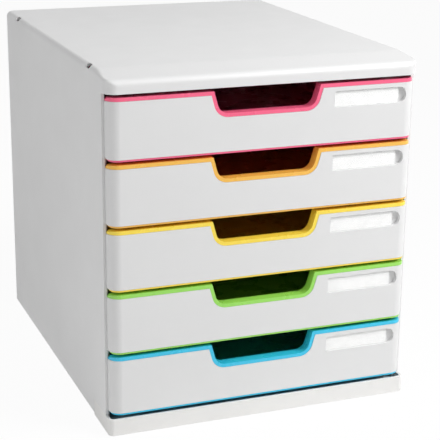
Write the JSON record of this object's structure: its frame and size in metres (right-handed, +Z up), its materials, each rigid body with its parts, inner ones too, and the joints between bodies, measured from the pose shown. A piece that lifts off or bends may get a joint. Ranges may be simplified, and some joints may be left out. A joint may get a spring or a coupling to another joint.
{
  "type": "plastic drawer tower",
  "caption": "Free-standing plastic drawer tower with a grey casing and pull-out trays in bright colours, each with a finger notch and a label pocket.",
  "frame": {"origin": "centre of the footprint, on the surface the tower stands on", "axes": "+Z up, the drawer fronts face -Y, +X is the right-hand side seen from the front"},
  "size_m": [0.288, 0.36, 0.32],
  "materials": {
    "casing_grey": "fine satin moulded polystyrene",
    "front_grey": "fine satin moulded polystyrene",
    "tray_pink": "smooth moulded polystyrene",
    "tray_orange": "smooth moulded polystyrene",
    "tray_yellow": "smooth moulded polystyrene",
    "tray_green": "smooth moulded polystyrene",
    "tray_blue": "smooth moulded polystyrene",
    "label_paper": "plain white card",
    "label_window": "clear",
    "foot_rubber": "soft matt"
  },
  "bodies": {
    "casing": {"casing_shell": "casing_grey", "back_panel": "casing_grey", "base_panel": "casing_grey", "plinth": "casing_grey", "left_rack": "casing_grey", "right_rack": "casing_grey", "rear_feet": "foot_rubber"},
    "drawer_1": {"drawer_1_tray": "tray_pink", "drawer_1_front": "front_grey", "drawer_1_label": "label_paper", "drawer_1_window": "label_window"},
    "drawer_2": {"drawer_2_tray": "tray_orange", "drawer_2_front": "front_grey", "drawer_2_label": "label_paper", "drawer_2_window": "label_window"},
    "drawer_3": {"drawer_3_tray": "tray_yellow", "drawer_3_front": "front_grey", "drawer_3_label": "label_paper", "drawer_3_window": "label_window"},
    "drawer_4": {"drawer_4_tray": "tray_green", "drawer_4_front": "front_grey", "drawer_4_label": "label_paper", "drawer_4_window": "label_window"},
    "drawer_5": {"drawer_5_tray": "tray_blue", "drawer_5_front": "front_grey", "drawer_5_label": "label_paper", "drawer_5_window": "label_window"}
  },
  "joints": [
    {"name": "drawer_1_slide", "type": "slide", "parent": "casing", "child": "drawer_1", "axis": [0, -1, 0], "range_m": [0, 0.25]},
    {"name": "drawer_2_slide", "type": "slide", "parent": "casing", "child": "drawer_2", "axis": [0, -1, 0], "range_m": [0, 0.25]},
    {"name": "drawer_3_slide", "type": "slide", "parent": "casing", "child": "drawer_3", "axis": [0, -1, 0], "range_m": [0, 0.25]},
    {"name": "drawer_4_slide", "type": "slide", "parent": "casing", "child": "drawer_4", "axis": [0, -1, 0], "range_m": [0, 0.25]},
    {"name": "drawer_5_slide", "type": "slide", "parent": "casing", "child": "drawer_5", "axis": [0, -1, 0], "range_m": [0, 0.25]}
  ]
}
